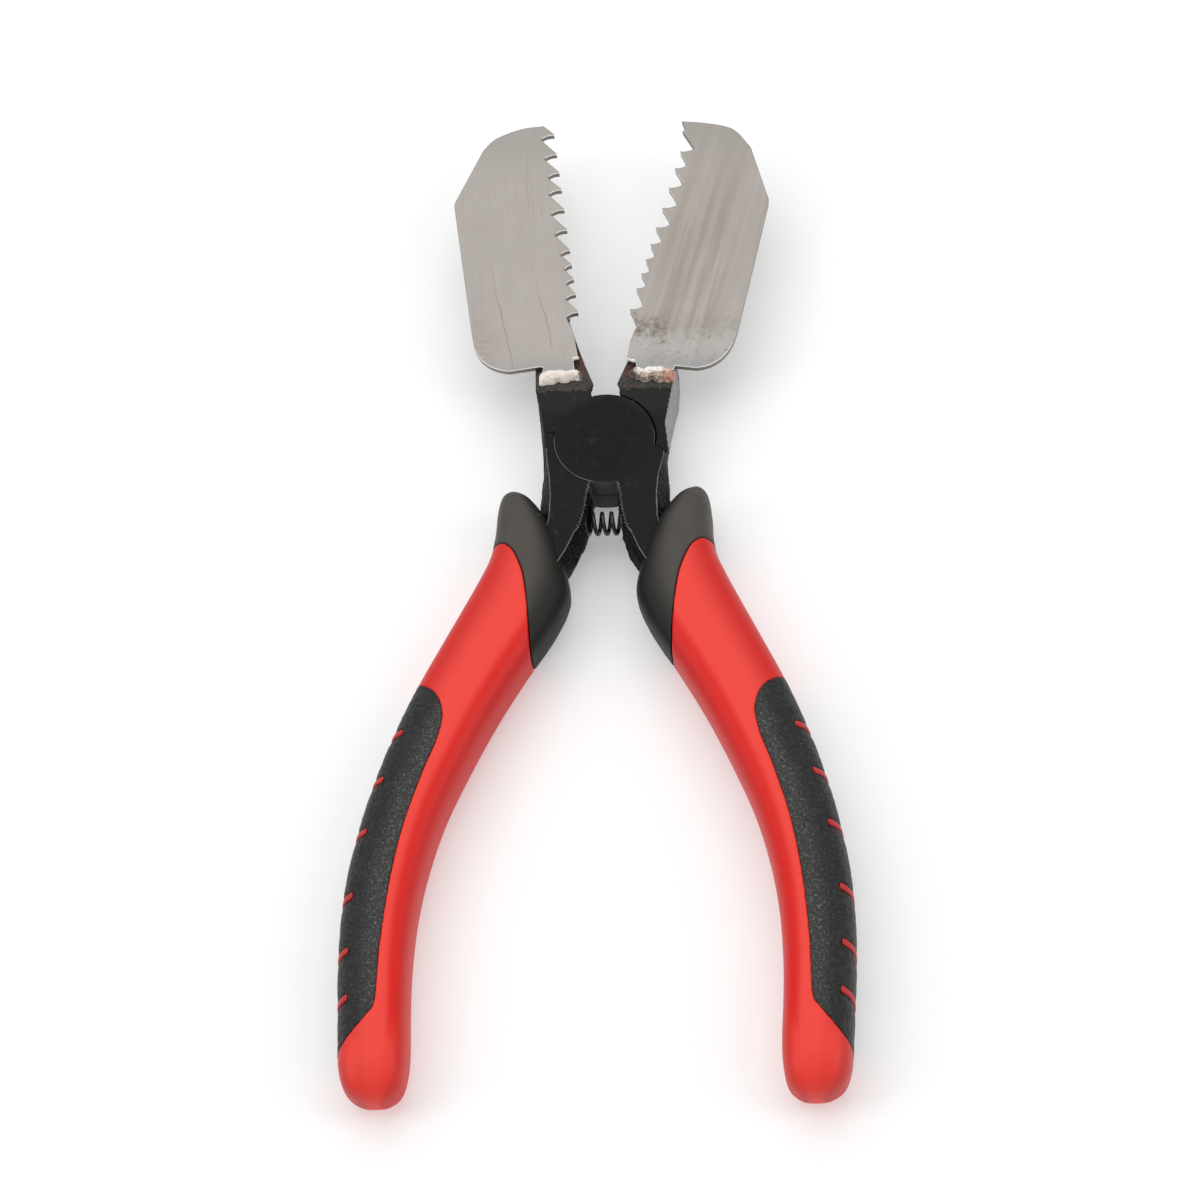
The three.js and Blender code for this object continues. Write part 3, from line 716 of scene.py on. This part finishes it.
def arm_space(x, y, z):
    """Signed distance from the space an arm keeps to beside the joint, and the other half's jaw keeps out
    of. Below the lap, the meeting faces slant."""
    slant = (y + 1.84 + 0.826 * (x - 10.74) - 0.512 * (FACE - z)) / 1.39
    return join(meet(y - STOP_Y, z + LAP), meet(slant, -LAP - 0.5 - z))


def above_slope(x, y, z, start, end):
    """Signed distance from everything above a slope that leaves the top face along the line from start to
    end and falls away to its right. Negative above it."""
    (ax, ay), (bx, by) = start, end
    out = ((by - ay) * (x - ax) - (bx - ax) * (y - ay)) / math.hypot(bx - ax, by - ay)
    return (FACE - z - out * GROUND_FALL) / math.hypot(GROUND_FALL, 1)


def ground_space(x, y, z):
    """Signed distance from what grinding took off the jaw's outer edge."""
    low, middle, high = GROUND_EDGE
    return meet(above_slope(x, y, z, low, middle), above_slope(x, y, z, middle, high))


def arm_field(x, y, z, extra=0.0):
    return meet(forged(ARM, x, y, z) - extra, np.abs(z) - FACE - extra)


def forging_field(x, y, z, slot=0.0):
    """The half whose boss is on top, with its jaw on the left. Its spring's pocket is longer by `slot`
    towards the joint."""
    disc = np.hypot(x, y)
    jaw = cut(forged(JAW, x, y, z), arm_space(-x, y, -z) - STOP_GAP, 0.1)
    jaw = cut(jaw, ground_space(-x, y, -z))
    arm = meet(forged(ARM, x, y, z) + serration(x, y), arm_space(x, y, z) + STOP_GAP, 0.1)
    sides = join(jaw, arm)
    seat = np.hypot(x + SEAT_OFFSET, y)
    sides = cut(sides, meet(seat - BOSS_RADIUS - BOSS_GAP, z - LAP), 0.08)
    boss = meet(disc - BOSS_RADIUS, LAP - z, 0.08)
    sides = join(sides, boss, 0.1)
    whole = join(meet(sides, np.abs(z) - FACE, 0.12), tang(x, y, z), 0.8)
    beside = y - SPRING_Y - np.clip(y - SPRING_Y, 0, slot)
    pocket = meet(np.hypot(beside, z) - POCKET_RADIUS, x - SPRING_HALF - 0.3)
    hole = disc - RIVET_RADIUS - np.clip(z - FACE + 1.8, 0, RIVET_HEAD - RIVET_RADIUS)
    return cut(cut(whole, pocket, 0.15), hole)


def edge_lines(x, y, z):
    """How bright a forging's surface is worn along the edges of its faces and round its boss, from 0 to 1.
    The boss's edge shines at the lower left and for a short stretch at the right."""
    on_face = clamp(1 - (FACE - np.abs(z)) / 0.24)
    disc, angle = np.hypot(x, y), np.degrees(np.arctan2(y, x))
    beside = disc > BOSS_RADIUS + 0.3
    arm = close_to(forged(ARM, x, y, z) + serration(x, y), 0.26) * (y < -2) * beside
    arm = arm * np.where((x < 8) & (y > SERRATION_END), 1.0, 0.9)
    jaw = close_to(forged(JAW, x, y, z), 0.26) * (y > -2) * beside
    seam = close_to(disc - BOSS_RADIUS, 0.24) * (z > 0)
    left = clamp((angle + 188) / 6) * clamp((-97 - angle) / 6) + clamp((angle - 172) / 6)
    right = clamp((angle + 12) / 5) * clamp((14 - angle) / 5)
    return on_face * np.maximum.reduce([arm, jaw * 0.2, seam * (left + 0.8 * right)])


def forging(name, body, node, look, flip):
    """One half of the lap joint with its tang. The lower half is the upper one turned over its long axis."""
    low, high = (-47, 16) if flip else (-16, 47)
    in_grip = np.arange(-131.3, -36, 1.4)
    ys = np.concatenate([in_grip, span(-36, 30, 0.17)])
    grid = Grid(span(low, high, 0.2), ys, span(-5.8, 5.8, 0.2))
    turn = -1 if flip else 1
    slot = POCKET_SLOT if flip else 0.0
    points, quads = skin(grid, forging_field(grid.x * turn, grid.y, grid.z * turn, slot))

    x, y, z = (points * (turn, 1, turn)).T
    flat = close_to(np.abs(z) - FACE, 0.22)
    ground = (np.abs(ground_space(-x, y, -z)) < 0.05) & (x < 0) & (y > -4.6)
    ground |= (x < -11.5) & (y > 3) & (y < 16) & (z < 5) & (flat < 0.5) & flip
    bare = np.where(ground, 1.0, 0.0)
    wall = (1 - flat) * (1 - bare)
    rough = wall * clamp((np.hypot(x, y) - BOSS_RADIUS - 0.4) / 0.6) * clamp((y + 60) / 20)
    edges = edge_lines(x, y, z) * (1 - bare)
    lumps = value_noise(points, 0.5, 1) * 0.7 + value_noise(points, 1.2, 2) * 0.5
    depth = 0.12 * rough * np.clip((np.abs(y) - 5) / 2, 0.15, 1)
    points = points + normals_of(points, quads) * (depth * lumps)[:, None]
    masks = {"forged": rough, "ground": bare, "wall": wall, "edge": edges}
    piece(name, points, quads, body, node, "black_oxide", look, masks)


# Grips.
class GripPlan:
    """How a grid's points lie in the right-hand grip: its half width and half thickness there, how far they
    are to the side of its middle, and how far past its ends."""

    def __init__(self, grid):
        sections = smooth(GRIP, 10)
        sections[:, 4] = np.minimum(sections[:, 4], GRIP_HALF - 0.01)
        middle = (sections[:, 0:2] + sections[:, 2:4]) / 2
        across = sections[:, 0:2] - sections[:, 2:4]
        width = np.hypot(across[:, 0], across[:, 1]) / 2
        across = across / (2 * width[:, None])
        x, y = grid.x[:, :, 0], grid.y[:, :, 0]

        def ahead(i):
            """How far the points are past a section, towards the grip's end."""
            return (x - middle[i, 0]) * across[i, 1] - (y - middle[i, 1]) * across[i, 0]

        place = np.where(y > -60, 0.0, len(sections) - 1.0) + 0 * x
        nearest = np.full(place.shape, np.inf)
        here = ahead(0)
        self.cap = np.maximum(-here, ahead(-1))
        for i in range(len(sections) - 1):
            there = ahead(i + 1)
            side = np.hypot(x - middle[i, 0], y - middle[i, 1])
            found = (here >= 0) & (there < 0) & (side < nearest)
            place[found] = (i + here / np.maximum(here - there, 1e-9))[found]
            nearest[found] = side[found]
            here = there

        def at(column):
            return np.interp(place, np.arange(len(sections)), column)

        self.width, self.half = at(width), at(sections[:, 4])
        self.side = (x - at(middle[:, 0])) * at(across[:, 0]) + (y - at(middle[:, 1])) * at(across[:, 1])
        self.axes = grid.axes

    def across(self, points):
        """How far across the grip each point is, from -1 at its inner side to 1 at its outer one."""
        share = np.clip(self.side / self.width, -1.2, 1.2)
        spots, parts = [], []
        for k in range(2):
            axis = self.axes[k]
            place = np.clip((points[:, k] - axis[0]) / (axis[1] - axis[0]), 0, len(axis) - 1.001)
            spots.append(place.astype(int))
            parts.append(place - spots[k])
        (i, j), (s, t) = spots, parts
        near, far = (share[i + n, j] * (1 - t) + share[i + n, j + 1] * t for n in (0, 1))
        return near * (1 - s) + far * s

    def field(self, z, squareness=3.0):
        """Signed distance from the grip's surface."""
        width, half = (a[:, :, None].astype(np.float32) for a in (self.width, self.half))
        u, v = np.abs(self.side[:, :, None].astype(np.float32)) / width, np.abs(z) / half
        reach = np.maximum((u ** squareness + v ** squareness) ** (1 / squareness), 1e-3)
        slope = np.hypot((u / reach) ** (squareness - 1) / width, (v / reach) ** (squareness - 1) / half)
        return meet((reach - 1) / slope, self.cap[:, :, None].astype(np.float32), 0.5)


def outer_edge(y):
    """The place of a rib on the handle's outer edge, and the edge's direction there."""
    edge = smooth([row[:2] for row in GRIP], 10)
    i = int(np.argmax(edge[:, 1] <= y))
    along = edge[i] - edge[i - 1]
    return edge[i], along / np.hypot(*along)


def rib_fields(x, y):
    """Signed distance in plan from the ribs, and how close a point is to one along the handle, 0 to 1."""
    ribs, near = np.inf, 0.0
    for height in RIB_Y:
        at, along = outer_edge(height)
        ahead = (x - at[0]) * along[0] + (y - at[1]) * along[1]
        inward = (y - at[1]) * along[0] - (x - at[0]) * along[1]
        slanted = (ahead - RIB_SLANT * inward) / math.hypot(1, RIB_SLANT)
        ribs = np.minimum(ribs, meet(np.abs(slanted) - RIB_HALF, np.abs(inward) - RIB_DEPTH, 0.4))
        near = np.maximum(near, np.exp(-(ahead / 1.7) ** 2) * np.exp(-np.maximum(np.abs(inward) - 3, 0) ** 2))
    return ribs, near


def grip_pieces(looks):
    """The red core, the black front guard and the palm pad of each grip, each with a seam between them."""
    grid = Grid(span(6, 51.3, 0.3), span(-143.6, -9.6, 0.3), span(-7.9, 7.9, 0.3))
    x, y, z = grid.x, grid.y, grid.z
    plan = GripPlan(grid)
    surface = plan.field(z)
    guard_plan = outline(np.vstack([smooth(GUARD_EDGE, 8), [(-10, -56), (-10, 5), (30, 5)]]), x, y)
    pad_plan = outline(np.vstack([smooth(PAD_EDGE, 8), [(70, -139), (70, -54)]]), x, y)
    ribs, near_rib = rib_fields(x, y)
    inner = meet(surface + SKIN, y - CORE_TOP, 0.4)
    insert = np.minimum(tang(x, y, z, SEAM), arm_field(x, y, z, 0.1))

    core = cut(cut(surface + 0.10, guard_plan - SEAM, 0.2), pad_plan - SEAM)
    core = join(core, inner + SEAM, 0.1)
    core = np.minimum(core, meet(surface + 0.05, ribs, 0.3))
    guard = cut(meet(surface, guard_plan + SEAM, 0.3), inner - SEAM)
    pad = cut(meet(surface + 0.25 * near_rib, pad_plan - PAD_LAP, 0.1), inner - SEAM)
    pad = cut(pad, ribs + 0.05, 0.1)
    # Each kind of moulding, the depth of its uneven surface and the size of the lumps.
    kinds = (("grip_core", "red_core", cut(core, insert), 0.0, 1.0),
             ("front_guard", "black_guard", cut(guard, insert), 0.03, 1.5),
             ("palm_pad", "black_pad", pad, 0.05, 0.75))
    for kind, slot, field, depth, size in kinds:
        points, quads = skin(grid, field)
        masks = {"across": plan.across(points)}
        if depth:
            inward = depth * (value_noise(points, size, 5) - 1)
            points = points + normals_of(points, quads) * inward[:, None]
        for side, sign, body in (("right", 1, "upper_half"), ("left", -1, "lower_half")):
            name = f"{side}_{kind}"
            shape = on_side(sign, points, quads)
            piece(f"{name}_moulding", *shape, body, name, slot, looks[slot], masks)


# Blades.
def blade_outline(back, corner, heel, tab, teeth_line, teeth, hook):
    """The blade's outline from its tip round the back, the tab and the teeth. The right-hand blade's teeth
    have hollow flanks, and its tip is clipped."""
    first_x, first_y, slope = teeth_line

    def edge(y):
        return first_x + slope * (y - first_y)

    points = [tuple(p) for p in smooth(back, 8)] + corner + turned_corner(*heel) + tab
    if hook > 0:
        below = first_y - 4.3
        points.append((edge(below) + teeth[0][1], below))
    for y, depth in teeth:
        tip, root = (edge(y), y), (edge(y + hook) + depth, y + hook)
        if hook > 0:
            points += bowed(points[-1], (tip[0] + 0.08, y - 0.55), -0.03, 4) + [tip]
            points += bowed(tip, root, -0.10)
        else:
            points += bowed(points[-1], root, 0.0, 2)
            points += bowed(root, tip, -0.12) + [(tip[0] + 0.02, y + 0.35)]
    if hook > 0:
        points += [(15.75, 74.6), (16.35, 75.1)]
    return points[::-1]


def blade(side, body, look):
    """A plate extruded from its outline, with a burr of its own along the top rim."""
    points = blade_outline(**BLADES[side])
    if side == "left":
        points = [(-x, y) for x, y in points][::-1]
    made = bmesh.new()
    rim = [made.verts.new((x, y, BLADE_LOW)) for x, y in points]
    face = made.faces.new(rim)
    if face.normal_update() or face.normal.z > 0:
        face.normal_flip()
    top = [face]
    for height in (BLADE_HIGH - BLADE_LOW - BURR_DEPTH, BURR_DEPTH):
        grown = bmesh.ops.extrude_face_region(made, geom=top)["geom"]
        raised = [v for v in grown if isinstance(v, bmesh.types.BMVert)]
        bmesh.ops.translate(made, verts=raised, vec=(0, 0, height))
        top = [f for f in grown if isinstance(f, bmesh.types.BMFace)]
    bmesh.ops.recalc_face_normals(made, faces=made.faces)
    rims = [e for e in made.edges if any(all(abs(v.co.z - z) < 1e-4 for v in e.verts)
                                         for z in (BLADE_LOW, BLADE_HIGH))]
    bmesh.ops.bevel(made, geom=rims, offset=BLADE_BURR, segments=2, profile=0.5, affect="EDGES",
                    clamp_overlap=True)
    made.normal_update()
    points = np.array([v.co for v in made.verts])
    facing = np.array([v.normal for v in made.verts])[:, 1]
    depth = BLADE_HIGH - points[:, 2]
    rim = (depth > 1e-4) & (depth < 0.9 * BURR_DEPTH)
    # Masks for the burr's painted highlight and painted shade, by which way it faces.
    masks = {"wall": depth > 0.9 * BURR_DEPTH, "lit": rim * clamp(-2 * facing),
             "shaded_burr": rim * np.clip(0.8 + 2 * facing, 0, 0.8)}
    faces = [[v.index for v in f.verts] for f in made.faces]
    made.free()
    plate = piece(f"{side}_blade", points, faces, body, f"{side}_toothed_blade", "blade_steel", look, masks)
    plate.data.set_sharp_from_angle(angle=math.radians(50))
    weighted = plate.modifiers.new("flat_faces", "WEIGHTED_NORMAL")
    weighted.keep_sharp = True
    weighted.weight = 100


# Welds.
def ellipsoid(grid, centre, radii):
    axes = zip((grid.x, grid.y, grid.z), centre, radii)
    return (np.sqrt(sum(((axis - c) / r) ** 2 for axis, c, r in axes)) - 1) * min(radii)


# Each bead across a tab's foot, in its half's own coordinates: x of its inner and outer end, y of its lower
# edge at each, y of its top, how ragged its lower edge is, and the bright drops in the notch beside the tab.
TAB_BEADS = {
    "left": (4.8, 13.9, 13.9, 12.8, 16.0, 0.25, ((6.5, 18.48), (5.95, 18.6))),
    "right": (5.1, 14.6, 13.2, 12.7, 16.2, 0.55, ((5.9, 17.5), (4.95, 17.8))),
}


def bead_piece(name, grid, field, sign, body, look):
    piece(f"{name}_bead", *on_side(sign, *skin(grid, field)), body, f"{name}_weld", "weld_metal", look)


def tab_weld(side, sign, body, look):
    """A bead across the foot of the blade's tab: highest over the tab's end, run out on to the jaw in a
    ragged line. Drops of the same metal close the notch beside the tab."""
    start, end, low_start, low_end, top_line, raggedness, drops = TAB_BEADS[side]
    grid = Grid(span(start - 1.0, end + 0.6, 0.1), span(low_end - 1.2, 19.4, 0.1), span(5.2, 7.8, 0.1))
    x, y, z = grid.x, grid.y, grid.z
    flat = np.stack(np.broadcast_arrays(x[:, :, 0], y[:, :, 0], 0 * y[:, :, 0]), -1).reshape(-1, 3)

    def noise(size, seed):
        return value_noise(flat, size, seed).reshape(x.size, y.size, 1)

    ragged = (noise(0.9, 11) + 0.6 * noise(0.4, 12)) * raggedness
    swell = noise(1.3, 13) * 0.16 + noise(0.45, 14) * 0.09
    low = low_start + (low_end - low_start) * (x - start) / (end - start) + ragged
    along = (y - low) / (top_line - low)
    along = along + 0.35 * clamp((start + 1.8 - x) / 1.8) ** 2 + 0.35 * clamp((x - end + 1.8) / 1.8) ** 2
    up, down = 1 - np.abs(1 - along / 0.68) ** 2.2, 1 - 0.35 * ((along - 0.68) / 0.32) ** 2
    ends = clamp(np.minimum(x - start - 0.3 * ragged, end - x + 0.3 * ragged) / 1.3)
    crown = (1.82 + swell) * np.where(along < 0.68, up, down) * np.sqrt(1 - (1 - ends) ** 2)
    bead = meet(0.6 * (z - FACE - crown), FACE + 0.03 - z)
    bead = meet(bead, meet(0.7 * (low - y), y - top_line - 0.3))
    for place in drops:
        bead = join(bead, ellipsoid(grid, (*place, BLADE_HIGH - 0.3), (0.55, 0.36, 0.5)), 0.1)
    bead_piece(f"{side}_tab", grid, bead, sign, body, look)


def root_weld(side, sign, body, look):
    """A short bead under the blade, across the front end of the jaw stub."""
    grid = Grid(span(7, 11.2, 0.12), span(28.4, 31.9, 0.12), span(3, 5.9, 0.12))
    bead = np.float32(9)
    for centre in (8.4, 9.1, 9.8):
        bead = join(bead, ellipsoid(grid, (centre, 29.4, 5.4), (0.75, 1.7, 1.7)), 0.3)
    bead = meet(meet(bead, grid.z - BLADE_LOW + 0.03), 29.05 - grid.y)
    bead_piece(f"{side}_root", grid, bead, sign, body, look)


# Spring and rivet.
def ring_faces(rings, sides, first=0):
    """Quads between rings of vertices, each ring after the one before."""
    faces = []
    for a in range(first, first + (rings - 1) * sides, sides):
        b = a + sides
        faces += [[a + i, a + (i + 1) % sides, b + (i + 1) % sides, b + i] for i in range(sides)]
    return faces


def tube(path, radius, sides=12):
    """A closed tube about a path, its rings kept from twisting."""
    path = np.array(path, float)
    along = np.gradient(path, axis=0)
    along /= np.linalg.norm(along, axis=1, keepdims=True)
    up = np.array([1.0, 0, 0])
    rings = []
    for at, ahead in zip(path, along):
        up = up - ahead * (up @ ahead)
        up /= np.linalg.norm(up)
        side = np.cross(ahead, up)
        turn = 2 * math.pi * np.arange(sides) / sides
        rings.append(at + radius * (np.outer(np.cos(turn), up) + np.outer(np.sin(turn), side)))
    last = (len(rings) - 1) * sides
    ends = [list(range(sides))[::-1], list(range(last, last + sides))]
    return np.vstack(rings), ring_faces(len(rings), sides) + ends


def spring(look):
    """A compression spring with a closed coil at each end."""
    turns, closed_pitch, per_turn = 8.5, 0.9, 28
    length = 2 * SPRING_HALF - 2 * SPRING_WIRE - 0.1
    open_pitch = (length - 2 * closed_pitch) / (turns - 2)
    path = []
    for turn in np.arange(0, turns + 1e-6, 1 / per_turn):
        along = closed_pitch * min(turn, 1) + open_pitch * np.clip(turn - 1, 0, turns - 2)
        along += closed_pitch * max(turn - turns + 1, 0) - length / 2
        angle = 2 * math.pi * turn + 0.9
        path.append((along, SPRING_Y + SPRING_RADIUS * math.cos(angle), SPRING_RADIUS * math.sin(angle)))
    made = piece("coil_spring", *tube(path, SPRING_WIRE), "upper_half", "return_spring", "spring_steel", look)
    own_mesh(made)


def rivet(look):
    """A shank with a peened, flush-ground head at each end, turned from its profile."""
    top = FACE + 0.006
    head = RIVET_HEAD + 0.2
    profile = [(0.0, top), (head - 0.3, top), (head - 0.03, top), (head, top - 0.02), (head, top - 0.45),
               (RIVET_RADIUS - 0.1, top - 1.85), (RIVET_RADIUS - 0.1, 0.0)]
    profile += [(r, -z) for r, z in profile[-2::-1]]
    sides = 96
    turns = [2 * math.pi * i / sides for i in range(sides)]
    points = [(0, 0, profile[0][1])]
    for radius, z in profile[1:-1]:
        points += [(radius * math.cos(turn), radius * math.sin(turn), z) for turn in turns]
    points.append((0, 0, profile[-1][1]))
    rings = len(profile) - 2
    last = 1 + (rings - 1) * sides
    faces = [[0, 1 + i, 1 + (i + 1) % sides] for i in range(sides)]
    faces += [face[::-1] for face in ring_faces(rings, sides, 1)]
    faces += [[len(points) - 1, last + (i + 1) % sides, last + i] for i in range(sides)]
    bare = np.zeros(len(points))
    masks = {"forged": bare, "ground": bare, "wall": bare, "edge": bare}
    piece("flush_rivet", points, faces, "upper_half", "pivot_rivet", "black_oxide", look, masks)


# Stage.
def floor():
    """A pale floor that glows faintly, so that it stays near white in the tool's soft shadow."""
    look = Look("floor", 0.1, Emission_Color=(1, 1, 1, 1), Emission_Strength=0.28)
    look.colour = look.blend(look.noise(60, 2), (0.72, 0.72, 0.72), (0.735, 0.735, 0.735))
    look.finish(look.scaled(look.noise(20, 2), 0.85, 0.95))
    bpy.ops.mesh.primitive_plane_add(size=6, location=(0, 0, 0))
    made = bpy.context.object
    made.name = "floor"
    made.data.materials.append(look.material)


def lamp(name, place, size, power):
    """A rectangular lamp, `size` metres by metres, that faces the middle of the floor."""
    light = bpy.data.lights.new(name, "AREA")
    light.shape = "RECTANGLE"
    light.size, light.size_y = size
    light.energy = power
    made = bpy.data.objects.new(name, light)
    made.location = place
    made.rotation_mode = "QUATERNION"
    made.rotation_quaternion = Vector(place).to_track_quat("Z", "Y")
    bpy.context.scene.collection.objects.link(made)


def camera():
    """Looks down at the tool from the handles' end, a little from the right, rolled to stand it upright."""
    azimuth, elevation, roll = math.radians(10.878), math.radians(61.793), math.radians(-11.156)
    distance, target = 750 * MM, PIVOT + Vector((-0.76, -34.878, 0)) * MM
    back = Vector((math.sin(azimuth) * math.cos(elevation), -math.cos(azimuth) * math.cos(elevation),
                   math.sin(elevation)))
    level = Vector((math.cos(azimuth), math.sin(azimuth), 0))
    rise = back.cross(level)
    right = level * math.cos(roll) + rise * math.sin(roll)
    up = rise * math.cos(roll) - level * math.sin(roll)
    lens = bpy.data.cameras.new("camera")
    lens.sensor_width, lens.lens = 36, 110.67
    lens.clip_start, lens.clip_end = 0.01, 20
    made = bpy.data.objects.new("camera", lens)
    facing = Matrix((right, up, back)).transposed().to_4x4()
    made.matrix_world = Matrix.Translation(target + back * distance) @ facing
    bpy.context.scene.collection.objects.link(made)
    bpy.context.scene.camera = made


def studio():
    """White surroundings, a large lamp overhead and a softbox at each side."""
    world = bpy.data.worlds.new("studio")
    bpy.context.scene.world = world
    world.use_nodes = True
    background = world.node_tree.nodes["Background"]
    background.inputs["Color"].default_value = (1, 1, 1, 1)
    background.inputs["Strength"].default_value = 0.45
    lamp("overhead", (-0.15, 0.5, 1.1), (1.6, 1.6), 9.7)
    lamp("left_softbox", (-0.9, -0.2, 0.7), (0.5, 0.8), 3)
    lamp("right_softbox", (0.9, -0.1, 0.7), (0.5, 0.8), 3)
    bpy.context.scene.view_settings.view_transform = "Standard"


camera()
studio()
floor()
for side, sign, body, lean in (("left", -1, "upper_half", -0.135), ("right", 1, "lower_half", 0.24)):
    bead_look = weld_metal(f"{side}_weld_metal", sign)
    blade(side, body, blade_steel(f"{side}_blade_steel", sign, lean))
    tab_weld(side, sign, body, bead_look)
    root_weld(side, sign, body, bead_look)
forging("upper_forging", "upper_half", "upper_lap_forging", black_oxide("upper_black_oxide", -1), False)
forging("lower_forging", "lower_half", "lower_lap_forging", black_oxide("lower_black_oxide", 1), True)
rivet(black_oxide("rivet_black_oxide", -1, wear=0.0))
spring(spring_steel())
grip_pieces({"red_core": red_core(), "black_guard": black_guard(), "black_pad": black_pad()})
